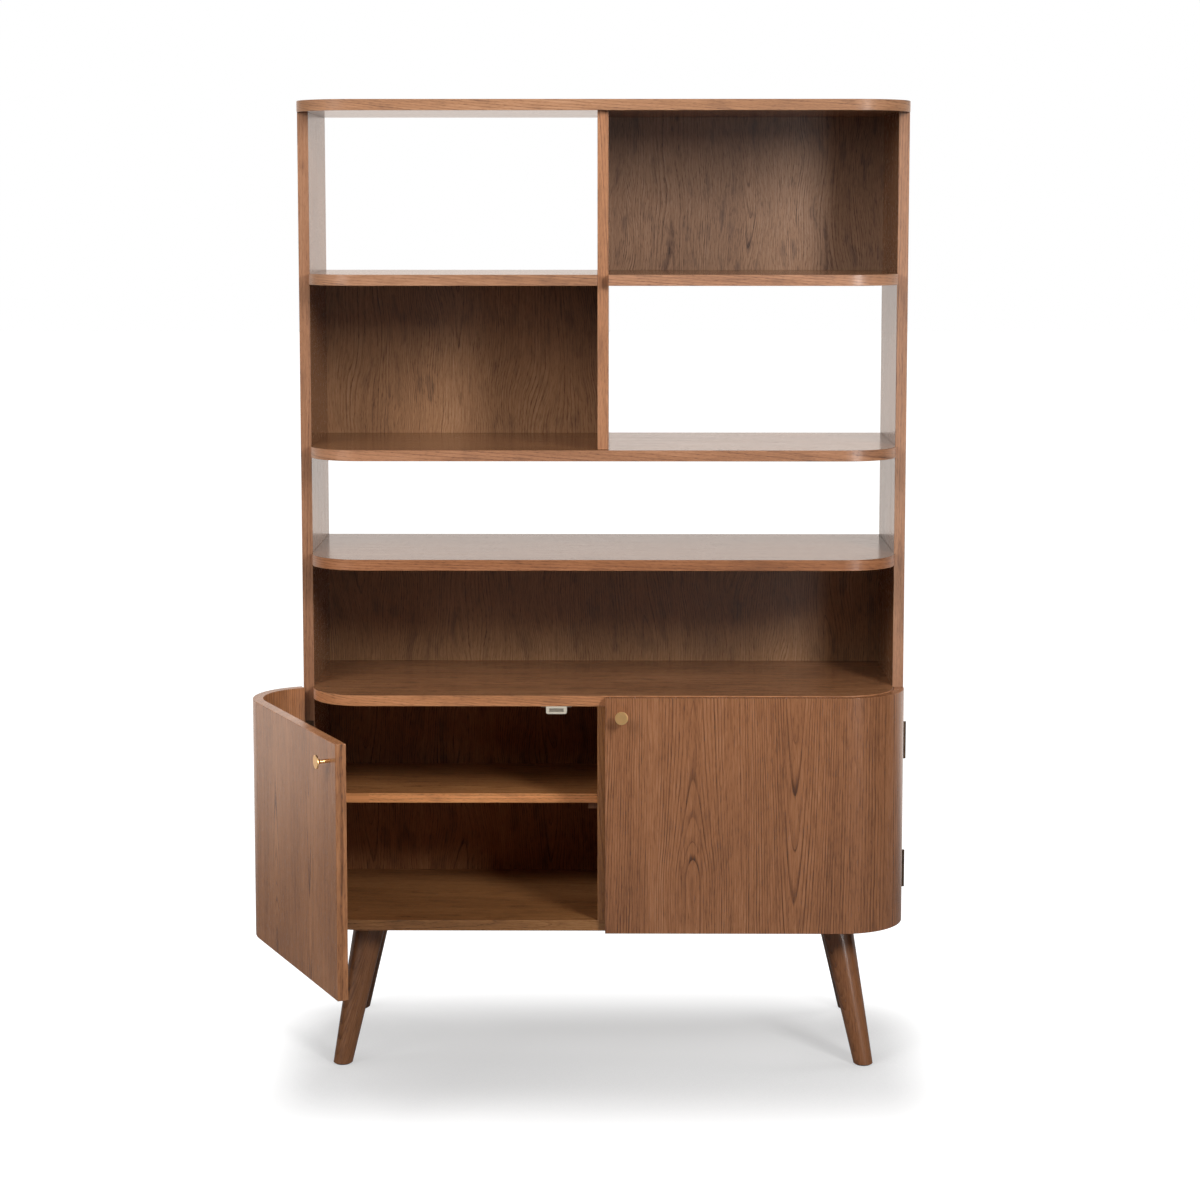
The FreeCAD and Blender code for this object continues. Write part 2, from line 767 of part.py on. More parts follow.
# ------------------------------------------------------------------ doors, about their own hinge lines
def door(side, sign):
    """A bent door with its hinge leaves, knob and strike plate; the origin is on its hinge line."""
    turn = -1 if sign < 0 else 1
    open_angle = cell(f"{side}_door_open")

    def hang(item, extra=0):
        item.Placement.Rotation = Rotation(Vector(0, 0, 1), 1)
        return bind(item, Placement__Base__x=sign * pivot_x, Placement__Base__y=pivot_y,
                    Placement__Rotation__Angle=turn * open_angle + extra)

    def x_at(distance):
        """Hinge-line frame: a distance from the middle of the bookcase, on this door's side."""
        return sign * (distance - pivot_x)

    def y_at(place):
        return place - pivot_y

    name = f"door_{side}"
    end_y = y_at(side_front - cell("hinge_gap"))
    outer, inner = y_at(door_outer), y_at(door_inner)
    corners = [
        (x_at(width_half), end_y),
        (x_at(width_half), outer, shelf_radius + board),
        (x_at(door_edge), outer),
        (x_at(door_edge), inner),
        (x_at(inner_half + cell("door_clearance")), inner, shelf_radius + cell("door_clearance")),
        (x_at(inner_half + cell("door_clearance")), end_y),
    ]
    blank = slab(name + "_blank", corners, bottom_z, door_top)
    bores = []

    screws = ScrewSet(f"door_screws_{side}", cell("screw_length"))
    for level, low in hinge_levels.items():
        leaf_name = f"hinge_door_leaf_{side}_{level}"
        leaf, leaf_bores = hinge_leaf(leaf_name, size(0), size(0), low, -sign, -1, 1, screws, "-y")
        bores.append(leaf_bores)
        keep(leaf_name, hang(leaf))

    # strike plate for the magnet, on the inner face
    strike_x, strike_z = x_at(cell("catch_offset")), catch_middle
    strike_half, strike_rise = cell("strike_width") / 2, cell("strike_height") / 2
    plate = doc.addObject("PartDesign::Body", f"strike_plate_{side}_blank")
    sketch = new_sketch(plate, "XZ_Plane")
    corner = strike_rise * 0.8
    outline = rectangle(-strike_half, strike_half, -strike_rise, strike_rise)
    profile(sketch, [(x, z, corner) for x, z in outline])
    pad = plate.newObject("PartDesign::Pad", "Pad")
    pad.Profile = sketch
    bind(pad, Length=cell("strike_thick"))
    plate_face = inner + cell("strike_thick")
    move(plate, strike_x, plate_face, strike_z)
    strike_bore = screws.add((strike_x, plate_face, strike_z), "-y")
    bores.append(strike_bore)
    strike_name = f"strike_plate_{side}"
    keep(strike_name, hang(cut(strike_name, plate, [strike_bore])))
    hang(screws.finish())

    # knob and the machine screw that holds it from behind
    stem, head = cell("knob_stem_diameter") / 2, cell("knob_diameter") / 2
    reach = cell("knob_projection")
    screw_radius, fit = cell("knob_screw_diameter") / 2, cell("peg_fit")
    knob_x = x_at(door_edge + cell("knob_edge_offset"))
    knob_z = door_top - cell("knob_drop")
    rim = cell("knob_rim")
    bore_depth = cell("knob_screw_reach") + fit
    knob = revolved(f"knob_{side}_blank", [
        (screw_radius + fit, size(0)),
        (stem, size(0)),
        (stem, reach - rim, cell("knob_flare")),
        (head, reach - rim, rim / 4),
        (head, reach, rim / 4),
        (size(0), reach),
        (size(0), bore_depth),
        (screw_radius + fit, bore_depth),
    ])
    knob.Placement.Rotation = Rotation(Vector(0, 0, 1), 180)
    move(knob, knob_x, outer, knob_z)
    keep(f"knob_{side}", hang(group(f"knob_{side}", [knob])))
    shank = rod("knob_screw_shank", (knob_x, inner, knob_z), "-y", screw_radius,
                door_thick + cell("knob_screw_reach"))
    screw_head = rod("knob_screw_head", (knob_x, inner, knob_z), "+y", screw_radius * 2, screw_radius)
    slot = block("knob_screw_slot", knob_x - screw_radius * 2, knob_x + screw_radius * 2,
                 inner + screw_radius / 2, inner + screw_radius * 2,
                 knob_z - screw_radius / 4, knob_z + screw_radius / 4)
    screw_name = f"knob_screw_{side}"
    keep(screw_name, hang(cut(screw_name, fuse(screw_name + "_blank", [shank, screw_head]), [slot])))
    bore_start = (knob_x, inner + fit, knob_z)
    bores.append(rod("knob_bore", bore_start, "-y", screw_radius + fit, door_thick + 2 * fit))

    keep(name, hang(cut(name, blank, bores)))


door("left", -1)
door("right", 1)


# ------------------------------------------------------------------ boards, with all their holes
def rounded_board(name, x0, x1, left, right, low, radius):
    """A shelf or top whose chosen front corners are rounded."""
    corners = [
        (x0, front, radius) if left else (x0, front),
        (x1, front, radius) if right else (x1, front),
        (x1, back),
        (x0, back),
    ]
    blank = slab(name + "_blank", corners, low, low + board)
    keep(name, cut(name, blank, holes.get(name, [])))


def upright(name, x0, x1, y0, y1, low, high):
    blank = slab(name + "_blank", rectangle(x0, x1, y0, y1), low, high)
    keep(name, cut(name, blank, holes.get(name, [])))


rounded_board("top_board", -width_half, width_half, True, True, crown_z, projection)
rounded_board("shelf_upper_left", -inner_half, -board_half, True, False, upper_z, shelf_radius)
rounded_board("shelf_upper_right", board_half, inner_half, False, True, upper_z, shelf_radius)
for name, level in FULL_SHELVES.items():
    rounded_board(name, -inner_half, inner_half, True, True, level, shelf_radius)
upright("side_panel_left", -width_half, -inner_half, side_front, back, bottom_z, crown_z)
upright("side_panel_right", inner_half, width_half, side_front, back, bottom_z, crown_z)
upright("centre_divider", -board_half, board_half, front + cell("divider_setback"), back,
        middle_z + board, crown_z)
upright("cabinet_partition", -board_half, board_half, front, back_front, cabinet_floor_z, cabinet_top_z)


# ------------------------------------------------------------------ check and write
doc.recompute()
failed = [item.Name for item in doc.Objects if "Invalid" in item.State or "Error" in item.State]
if failed:
    raise RuntimeError(f"objects that failed: {failed}")
os.makedirs("parts", exist_ok=True)
for name, item in nodes.items():
    shape = item.Shape
    if shape.isNull() or not shape.isValid() or not shape.Solids:
        raise RuntimeError(f"{name} has no valid solid")
    shape.exportStep(f"parts/{name}.step")
print(len(nodes), "sub-parts")
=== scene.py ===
"""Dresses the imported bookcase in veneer, metal and plastic, and sets up a pale studio and the camera.

Lengths are metres in the part's own frame: X to the right, Y to the back, Z up.
"""
import json
import math
from dataclasses import dataclass, replace

import bpy
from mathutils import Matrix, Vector


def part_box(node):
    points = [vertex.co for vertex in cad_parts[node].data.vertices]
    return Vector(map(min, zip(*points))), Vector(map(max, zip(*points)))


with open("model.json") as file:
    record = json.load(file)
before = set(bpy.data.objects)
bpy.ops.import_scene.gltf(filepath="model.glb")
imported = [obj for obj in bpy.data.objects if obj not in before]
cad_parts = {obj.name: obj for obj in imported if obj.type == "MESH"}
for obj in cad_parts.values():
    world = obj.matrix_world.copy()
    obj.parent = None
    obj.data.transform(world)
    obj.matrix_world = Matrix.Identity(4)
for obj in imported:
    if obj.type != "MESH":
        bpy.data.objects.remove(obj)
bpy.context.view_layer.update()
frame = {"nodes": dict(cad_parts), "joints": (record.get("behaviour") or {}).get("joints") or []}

JOINTS = {joint["name"]: joint for joint in frame["joints"]}

# ------------------------------------------------------------------ sizes that the grain follows
SHELF_CORNER = 0.100       # radius of the shelves' front corners
TOP_CORNER = 0.110         # radius of the top board's front corners
DOOR_BEND = 0.120          # outer radius of the bent doors
DOOR_DEPTH_SHARE = 0.4     # how much the figure changes through a door's thickness
LEG_LEAN = 0.19            # how far a leg leans outwards for its height, both ways


# ------------------------------------------------------------------ colours
def srgb(red, green, blue):
    """A colour from 0-255 display values to the linear values that shaders take."""
    def linear(value):
        value /= 255
        return value / 12.92 if value <= 0.04045 else ((value + 0.055) / 1.055) ** 2.4
    return (linear(red), linear(green), linear(blue), 1.0)


def shade(colour, tint):
    """The colour times a tint, which is a number or one number for each of red, green and blue."""
    parts = tint if isinstance(tint, tuple) else (tint, tint, tint)
    return tuple(min(value * part, 1.0) for value, part in zip(colour, parts)) + (1.0,)


PORE_BROWN = srgb(60, 41, 30)
VEIN_BROWN = srgb(105, 71, 50)
MID_BROWN = srgb(146, 102, 70)
PALE_BROWN = srgb(181, 137, 104)
GREY_BROWN = srgb(100, 78, 63)


# ------------------------------------------------------------------ shader trees
class Tree:
    """The node tree of a material or a world. Its short calls add a node and give back its output."""

    def __init__(self, owner):
        owner.use_nodes = True
        self.owner = owner
        self.tree = owner.node_tree
        self.shader = self.tree.nodes.get("Principled BSDF")

    def put(self, socket, value):
        """Links an output to the socket, or sets the socket to a plain value."""
        if isinstance(value, bpy.types.NodeSocket):
            self.tree.links.new(value, socket)
        else:
            socket.default_value = value

    def node(self, kind, **settings):
        made = self.tree.nodes.new(kind)
        for name, value in settings.items():
            setattr(made, name, value)
        return made

    def math(self, operation, first, second=0.0, third=None):
        made = self.node("ShaderNodeMath", operation=operation)
        self.put(made.inputs[0], first)
        self.put(made.inputs[1], second)
        if third is not None:
            self.put(made.inputs[2], third)
        return made.outputs[0]

    def span(self, value, low, high, out_low=0.0, out_high=1.0):
        """Maps low-high smoothly to out_low-out_high, and holds the ends."""
        made = self.node("ShaderNodeMapRange", interpolation_type="SMOOTHSTEP")
        for socket, number in zip(made.inputs, (value, low, high, out_low, out_high)):
            self.put(socket, number)
        return made.outputs[0]

    def noise(self, vector, detail=2.0, roughness=0.5):
        """Noise from 0 to 1 about 0.5, one feature to a unit."""
        made = self.node("ShaderNodeTexNoise")
        self.put(made.inputs["Vector"], vector)
        self.put(made.inputs["Scale"], 1.0)
        self.put(made.inputs["Detail"], detail)
        self.put(made.inputs["Roughness"], roughness)
        return made.outputs["Fac"]

    def scaled(self, vector, x, y, z, shift=(0.0, 0.0, 0.0)):
        """The vector times (x, y, z), plus shift."""
        made = self.node("ShaderNodeVectorMath", operation="MULTIPLY_ADD")
        self.put(made.inputs[0], vector)
        self.put(made.inputs[1], (x, y, z))
        self.put(made.inputs[2], shift)
        return made.outputs[0]

    def split(self, vector):
        made = self.node("ShaderNodeSeparateXYZ")
        self.put(made.inputs[0], vector)
        return made.outputs

    def join(self, x, y, z):
        made = self.node("ShaderNodeCombineXYZ")
        for socket, value in zip(made.inputs, (x, y, z)):
            self.put(socket, value)
        return made.outputs[0]

    def choose(self, factor, first, second, kind="RGBA", blend="MIX"):
        """Mixes two colours or two vectors."""
        made = self.node("ShaderNodeMix", data_type=kind, blend_type=blend)
        start, end = {"VECTOR": (4, 1), "RGBA": (6, 2)}[kind]
        self.put(made.inputs[0], factor)
        self.put(made.inputs[start], first)
        self.put(made.inputs[start + 1], second)
        return made.outputs[end]

    def ramp(self, value, stops):
        """A colour for each value: stops are (place, colour) pairs in order."""
        made = self.node("ShaderNodeValToRGB")
        elements = made.color_ramp.elements
        while len(elements) < len(stops):
            elements.new(1.0)
        for element, (place, colour) in zip(elements, stops):
            element.position = place
            element.color = colour
        self.put(made.inputs[0], value)
        return made.outputs["Color"]

    def place(self):
        """Where the point is at rest, in the part's frame. It stays with the piece when that moves."""
        return self.node("ShaderNodeTexCoord").outputs["Object"]

    def facing(self):
        return self.node("ShaderNodeTexCoord").outputs["Normal"]

    def bump(self, height, distance, strength):
        made = self.node("ShaderNodeBump")
        made.inputs["Distance"].default_value = distance
        made.inputs["Strength"].default_value = strength
        self.put(made.inputs["Height"], height)
        self.put(self.shader.inputs["Normal"], made.outputs[0])


def finish(name):
    return Tree(bpy.data.materials.new(name))


# ------------------------------------------------------------------ wood
@dataclass
class Look:
    """How a veneer is figured. Lengths are metres, and strengths are shares of the range of tones."""
    ring: float = 0.006         # distance between growth rings across the face
    period: float = 0.372       # distance between one arch and the next across the face
    crown: float = 0.96         # how pointed the arches are: 1 is a sharp tip
    offset: float = 0.0         # how far the arches are moved across the face
    count: float = 0.0          # rings added all over, which moves the tips along the grain
    rise: float = 3.0           # rings crossed in a metre along the grain, all over
    arch_rise: float = 14.0     # and more where the arches point up, at the height arch_from
    vee_rise: float = 8.0       # and where they point down
    taper: float = 0.4          # height over which arch_rise falls to a third
    arch_from: float = 0.0
    arch_end: float = 100.0     # arch_rise stops at this many times its strength
    arch_middle: float = 0.0    # the arches lie about here, and no further off than arch_reach
    arch_reach: float = 100.0
    bends: tuple = (1.6, 7.0)   # wide bends of the lines in a metre, along and across
    wander: float = 0.008       # how far the lines wander in them
    waves: float = 0.0015       # their smaller waves
    slope: float = 0.0          # tilt of the grain
    band: float = 0.34          # strength of the dark ring lines
    line: float = 0.32          # their width, as a share of a ring
    pore: float = 0.26          # strength of the pores
    streak: float = 0.16        # of the streaks along the grain
    fibre: float = 0.20         # of the fine fibres
    cloud: float = 0.18         # of the broad patches
    smudge: float = 0.08        # of the grey smudges
    pore_size: tuple = (0.017, 0.0023)  # length and width of a pore
    pore_share: float = 0.55    # from 0, no pores, to 1, crowded


DOOR = Look(rise=0.6, arch_middle=-0.093, arch_reach=0.186, wander=0.004, waves=0.0018,
            band=0.44, line=0.46, streak=0.18, fibre=0.28, cloud=0.20, smudge=0.05,
            pore_size=(0.016, 0.0014))
RIGHT_DOOR = replace(DOOR, ring=0.005907, offset=-0.260, count=0.92, arch_rise=30.0, vee_rise=9.4,
                     taper=0.13, arch_from=0.411, arch_end=1.3)
LEFT_DOOR = replace(DOOR, offset=0.237, arch_rise=34.0, vee_rise=5.0,
                    taper=0.10, arch_from=0.36, arch_end=1.6)
BACK = Look(ring=0.0052, period=0.36, crown=0.93, arch_rise=22.0, vee_rise=10.0,
            bends=(4.2, 7.0), wander=0.030, waves=0.0035, line=0.38, streak=0.13, fibre=0.26,
            smudge=0.14, pore_size=(0.012, 0.0013), pore_share=0.7)
UPPER_BACK = replace(BACK, period=0.31, offset=-0.085, arch_rise=20.0, vee_rise=14.0,
                     band=0.38, pore=0.30, smudge=0.16)
MIDDLE_BACK = replace(BACK, offset=0.182, arch_rise=16.0, vee_rise=6.0, band=0.32, smudge=0.12)
LONG = Look(period=0.36, rise=2.0, arch_rise=5.0, vee_rise=4.0, slope=0.05, band=0.28, line=0.40,
            pore=0.24, pore_size=(0.010, 0.0013), pore_share=0.65)
UPRIGHT = Look(ring=0.005, period=0.9, rise=6.0, arch_rise=0.0, vee_rise=0.0, wander=0.005,
               slope=0.02, band=0.26, line=0.4, pore=0.25, streak=0.14,
               pore_size=(0.011, 0.0013), pore_share=0.65)
TURNED = Look(ring=0.0045, period=0.12, rise=18.0, arch_rise=6.0, wander=0.003, band=0.26, line=0.5)

# The lacquer over the veneer: how rough it is, and how strongly it mirrors.
USUAL_ROUGH = 0.22
LONG_ROUGH = 0.17
BACK_ROUGH = 0.38
CABINET_BACK_ROUGH = 0.45
EDGE_ROUGH = 0.32
LACQUER_IOR = 1.4
USUAL_GLOSS = 0.5
GLOSS = {"door_left": 0.35, "shelf_lower": 0.40, "shelf_upper_left": 0.75, "back_panel_cabinet": 0.1}
GRAIN_RELIEF = 0.00008      # height of the grain that can be felt
NO_TINT = (1.0, 1.0, 1.0)
MEAN_TONE = 0.60            # tone of the plain wood between the rings
PORE_EDGE = 0.18            # how softly the pores begin and end, in the noise that they come from

# Features in a metre, along the grain and across it.
SMALL_WAVES = (11.0, 40.0)
STREAKS = (5.0, 70.0)
FIBRES = (22.0, 560.0)
CLOUDS = (2.2, 9.0)
SMUDGES = (16.0, 55.0)

# Each piece is cut from its own sheet, so each has its own shade of the same stain; the tints also hold
# painted light and shade, making pieces paler or darker, and some bluer as a painted reflection, by how
# light falls on each piece.
TINTS_AND_PAINTED_LIGHT = {
    "top_board": (1.10, 1.14, 1.19),
    "side_panel_left": (1.00, 1.04, 1.08),
    "side_panel_right": (0.92, 0.96, 1.00),
    "centre_divider": (1.20, 1.25, 1.30),
    "shelf_upper_left": (1.05, 1.10, 1.15),
    "shelf_upper_right": (1.10, 1.15, 1.20),
    "shelf_middle": (0.95, 0.93, 0.90),
    "shelf_lower": (0.72, 0.68, 0.64),
    "cabinet_top": (1.15, 1.10, 1.05),
    "cabinet_bottom": (1.10, 1.05, 0.80),
    "cabinet_partition": (1.35, 1.25, 1.0),
    "cabinet_shelf_left": (1.60, 1.50, 1.15),
    "cabinet_shelf_right": (1.60, 1.50, 1.15),
    "back_panel_upper_right": (1.24, 1.58, 2.10),
    "back_panel_middle_left": (1.30, 1.46, 1.56),
    "back_panel_lower": (1.32, 1.46, 1.45),
    "back_panel_cabinet": (1.05, 0.94, 0.80),
    "door_left": (1.55, 1.44, 1.34),
    "door_right": (1.22, 1.10, 1.05),
    "leg_front_left": (0.80, 0.72, 0.65),
    "leg_front_right": (0.88, 0.76, 0.68),
    "leg_rear_left": (0.82, 0.74, 0.66),
    "leg_rear_right": (0.82, 0.74, 0.66),
}
# The solid lippings on the boards' edges are paler and duller than the faces; their tints also hold
# painted light, which makes the front edges paler and greyer by how light falls on each board.
LIPPINGS_AND_PAINTED_LIGHT = {
    "top_board": (1.36, 1.42, 1.53),
    "side_panel_left": (1.28, 1.28, 1.42),
    "side_panel_right": (1.71, 1.80, 2.10),
    "centre_divider": (1.35, 1.30, 1.35),
    "shelf_upper_left": (1.30, 1.30, 1.40),
    "shelf_upper_right": (1.50, 1.55, 1.80),
    "shelf_middle": (1.62, 1.70, 1.98),
    "shelf_lower": (1.86, 1.76, 1.80),
    "cabinet_top": (1.54, 1.50, 1.47),
    "cabinet_shelf_left": (1.5, 1.45, 1.5),
    "cabinet_shelf_right": (1.5, 1.45, 1.5),
}


def seed_of(name):
    """A place in the noise that is the piece's own."""
    number = sum((index + 1) * ord(letter) for index, letter in enumerate(name))
    return (number % 89) * 1.37, (number % 61) * 2.11, (number % 43) * 3.07


def lines_of(tree, along, bent, look):
    """Growth rings crossed so far: straight up, and closed in arches and vees at their own places."""
    turn = 2 * math.pi / look.period
    swing = tree.math("SINE", tree.math("MULTIPLY", bent, turn))
    arch = tree.math("ARCSINE", tree.math("MULTIPLY", swing, look.crown))
    straight = tree.math("MULTIPLY_ADD", along, look.rise, look.count)
    rings = tree.math("MULTIPLY_ADD", arch, 1 / turn / look.ring, straight)
    if look.arch_rise:
        near = tree.math("POWER", tree.math("MULTIPLY_ADD", swing, -0.5, 0.5), 3.0)
        height = tree.math("MULTIPLY_ADD", along, -1 / look.taper, look.arch_from / look.taper)
        steep = tree.math("SMOOTH_MIN", tree.math("EXPONENT", height), look.arch_end, 0.4)
        climb = tree.math("MULTIPLY", steep, -look.arch_rise * look.taper)
        within = tree.math("COMPARE", bent, look.arch_middle, look.arch_reach)
        rings = tree.math("MULTIPLY_ADD", tree.math("MULTIPLY", near, within), climb, rings)
    if look.vee_rise:
        near = tree.math("POWER", tree.math("MULTIPLY_ADD", swing, 0.5, 0.5), 3.0)
        rings = tree.math("MULTIPLY_ADD", near, tree.math("MULTIPLY", along, look.vee_rise), rings)
    return rings


def drawn_out(tree, place, features, seed, detail, roughness=0.5):
    """Noise with so many features in a metre along the grain, and so many across it."""
    along, across = features
    return tree.noise(tree.scaled(place, along, across, across, seed), detail, roughness)


def figure(tree, grain, look, seed):
    """The veneer's tone from 0, dark, to 1, pale, and its pores, streaks and smudges.

    grain is (along, across, depth) in metres.
    """
    wide = drawn_out(tree, grain, look.bends, seed, 1.0)
    small = drawn_out(tree, grain, SMALL_WAVES, seed, 2.0)
    along, across, depth = tree.split(grain)
    bent = tree.math("ADD", across, look.offset - look.wander)
    bent = tree.math("MULTIPLY_ADD", wide, 2 * look.wander, bent)
    bent = tree.math("MULTIPLY_ADD", small, 2 * look.waves, bent)
    bent = tree.math("MULTIPLY_ADD", along, look.slope, bent)
    bent = tree.math("ADD", bent, depth)
    fibre_place = tree.join(along, bent, depth)

    rings = lines_of(tree, along, bent, look)
    phase = tree.math("FRACT", rings)
    band = tree.math("MAXIMUM", tree.span(phase, 0.0, look.line, 1.0, 0.0), tree.span(phase, 0.92, 1.0))
    each = tree.node("ShaderNodeTexWhiteNoise", noise_dimensions="1D")
    tree.put(each.inputs["W"], tree.math("FLOOR", rings))
    band = tree.math("MULTIPLY", band, tree.span(each.outputs["Value"], 0.0, 1.0, 0.3, 1.0))

    length, width = look.pore_size
    dashes = drawn_out(tree, fibre_place, (1 / length, 1 / width), seed, 1.0)
    start = 0.62 - PORE_EDGE * look.pore_share
    pores = tree.span(dashes, start, start + PORE_EDGE)
    pores = tree.math("MULTIPLY", pores, tree.math("MULTIPLY_ADD", band, 0.5, 0.5))
    streaks = drawn_out(tree, fibre_place, STREAKS, seed, 3.0, 0.6)
    band = tree.math("MULTIPLY", band, tree.span(streaks, 0.36, 0.62, 0.35, 1.0))
    fibres = drawn_out(tree, fibre_place, FIBRES, seed, 2.0, 0.6)
    clouds = drawn_out(tree, grain, CLOUDS, seed, 1.0)
    smudges = tree.span(drawn_out(tree, fibre_place, SMUDGES, seed, 2.0), 0.52, 0.72)

    base = MEAN_TONE - look.streak - look.fibre - look.cloud
    tone = tree.math("MULTIPLY_ADD", streaks, look.streak * 2, base)
    tone = tree.math("MULTIPLY_ADD", fibres, look.fibre * 2, tone)
    tone = tree.math("MULTIPLY_ADD", clouds, look.cloud * 2, tone)
    tone = tree.math("MULTIPLY_ADD", band, -look.band, tone)
    tone = tree.math("MULTIPLY_ADD", pores, -look.pore, tone)
    tone = tree.math("MULTIPLY_ADD", smudges, -look.smudge, tone)
    return tone, pores, streaks, smudges


def is_face(tree, axis):
    """1 on a board's two wide faces, which look along the axis, and 0 on its edges."""
    return tree.math("GREATER_THAN", tree.math("ABSOLUTE", tree.split(tree.facing())[axis]), 0.6)


def veneer(name, grain_of, look, rough=USUAL_ROUGH):
    """A lacquered veneer. grain_of(tree) gives the piece's own (along, across, depth)."""
    tree = finish(name + "_finish")
    # the piece's own shade of the stain, partly painted light and shade
    tint = TINTS_AND_PAINTED_LIGHT.get(name, NO_TINT)
    tone, pores, streaks, smudges = figure(tree, grain_of(tree), look, seed_of(name))
    stops = [(0.0, shade(PORE_BROWN, tint)), (0.28, shade(VEIN_BROWN, tint)),
             (0.58, shade(MID_BROWN, tint)), (1.0, shade(PALE_BROWN, tint))]
    warm = tree.ramp(tone, stops)
    grey = tree.math("MULTIPLY", smudges, look.smudge)
    colour = tree.choose(grey, warm, shade(GREY_BROWN, tint))
    sheen = tree.math("MULTIPLY_ADD", streaks, 0.10, rough - 0.05)
    # the edges' tint: the lipping's paler wood, and partly painted light on the front edges
    if name in LIPPINGS_AND_PAINTED_LIGHT:
        face = is_face(tree, 0 if look is UPRIGHT else 2)
        lipping_and_painted_light = tree.choose(face, LIPPINGS_AND_PAINTED_LIGHT[name] + (1.0,), NO_TINT + (1.0,))
        colour = tree.choose(1.0, colour, lipping_and_painted_light, blend="MULTIPLY")
        duller = tree.math("ADD", sheen, EDGE_ROUGH - rough)
        sheen = tree.math("MULTIPLY_ADD", face, rough - EDGE_ROUGH, duller)
    tree.put(tree.shader.inputs["Base Color"], colour)
    tree.put(tree.shader.inputs["Roughness"], tree.math("MULTIPLY_ADD", pores, 0.1, sheen))
    tree.put(tree.shader.inputs["IOR"], LACQUER_IOR)
    tree.put(tree.shader.inputs["Specular IOR Level"], GLOSS.get(name, USUAL_GLOSS))
    height = tree.math("MULTIPLY_ADD", pores, -1.0, tree.math("MULTIPLY", streaks, 0.5))
    tree.bump(height, GRAIN_RELIEF, 0.5)
    return tree.owner


def unrolled(tree, x, y, middle, front, radius):
    """Distance along a rounded rim from its middle: straight, round the corner, then along the side.

    Also gives the distance out from the corner's centre lines, which is radius on the rim itself.
    """
    beside = tree.math("ABSOLUTE", x)
    past = tree.math("MAXIMUM", tree.math("SUBTRACT", beside, middle), 0.0)
    before = tree.math("MAXIMUM", tree.math("SUBTRACT", front, y), 0.0)
    angle = tree.math("ARCTAN2", past, before)
    length = tree.math("MULTIPLY_ADD", angle, radius, tree.math("MINIMUM", beside, middle))
    length = tree.math("ADD", length, tree.math("MAXIMUM", tree.math("SUBTRACT", y, front), 0.0))
    before_squared = tree.math("MULTIPLY", before, before)
    reach = tree.math("SQRT", tree.math("MULTIPLY_ADD", past, past, before_squared))
    return tree.math("MULTIPLY", length, tree.math("SIGN", x)), reach


def long_grain(node, radius):
    """Grain along X on a board's faces, and along its rim on its edges."""
    low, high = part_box(node)
    middle, front = high.x - radius, low.y + radius

    def grain(tree):
        x, y, z = tree.split(tree.place())
        rim, _ = unrolled(tree, x, y, middle, front, radius)
        flat = tree.join(x, y, z)
        edge = tree.join(rim, z, 0.0)
        return tree.choose(is_face(tree, 2), edge, flat, "VECTOR")
    return grain


def upright_grain(across="X"):
    """Grain along Z, on a board whose face runs along across."""
    def grain(tree):
        x, y, z = tree.split(tree.place())
        return tree.join(z, x, y) if across == "X" else tree.join(z, y, x)
    return grain


def door_grain(side):
    """Grain along Z on a door, laid out flat round the bend, from where the door is shut."""
    joint = JOINTS[side + "_door_hinge"]
    shut_angle = math.radians(joint["range_deg"][0]) * joint["axis"][2]
    low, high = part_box("door_right")
    middle, front = high.x - DOOR_BEND, low.y + DOOR_BEND

    def grain(tree):
        turned = tree.node("ShaderNodeVectorRotate", rotation_type="Z_AXIS")
        tree.put(turned.inputs["Vector"], tree.place())
        tree.put(turned.inputs["Center"], tuple(joint["pos_m"]))
        tree.put(turned.inputs["Angle"], shut_angle)
        x, y, z = tree.split(turned.outputs[0])
        rim, reach = unrolled(tree, x, y, middle, front, DOOR_BEND)
        depth = tree.math("MULTIPLY_ADD", reach, -DOOR_DEPTH_SHARE, DOOR_BEND * DOOR_DEPTH_SHARE)
        return tree.join(z, rim, depth)
    return grain


def leg_grain(node):
    """Grain up a leaning leg: the place across it is taken from the leg's own axis."""
    low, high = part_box(node)
    out_x = 1 if low.x + high.x > 0 else -1
    out_y = 1 if low.y + high.y > 0 else -1

    def grain(tree):
        x, y, z = tree.split(tree.place())
        across = tree.math("MULTIPLY_ADD", z, LEG_LEAN * out_x, x)
        depth = tree.math("MULTIPLY_ADD", z, LEG_LEAN * out_y, y)
        return tree.join(z, across, depth)
    return grain


# ------------------------------------------------------------------ metal and plastic
# Features in a metre, in every direction.
METAL_POLISH = 900.0
METAL_WEAR = 90.0
PLASTIC_PEEL = 700.0
PLASTIC_TONE = 60.0


def even(tree, features, detail, roughness=0.5):
    """Noise over the piece with so many features in a metre, in every direction."""
    return tree.noise(tree.scaled(tree.place(), features, features, features), detail, roughness)


def metal(name, colour, rough, wear):
    """A metal with a fine uneven polish, whose worn patches are darker by wear."""
    tree = finish(name)
    fine = even(tree, METAL_POLISH, 3.0, 0.6)
    broad = even(tree, METAL_WEAR, 3.0, 0.55)
    tree.put(tree.shader.inputs["Metallic"], 1.0)
    worn = tree.choose(tree.span(broad, 0.35, 0.7), colour, shade(colour, 1 - wear))
    tree.put(tree.shader.inputs["Base Color"], worn)
    tree.put(tree.shader.inputs["Roughness"], tree.math("MULTIPLY_ADD", fine, 0.16, rough - 0.08))
    tree.bump(fine, 0.00005, 0.4)
    return tree.owner


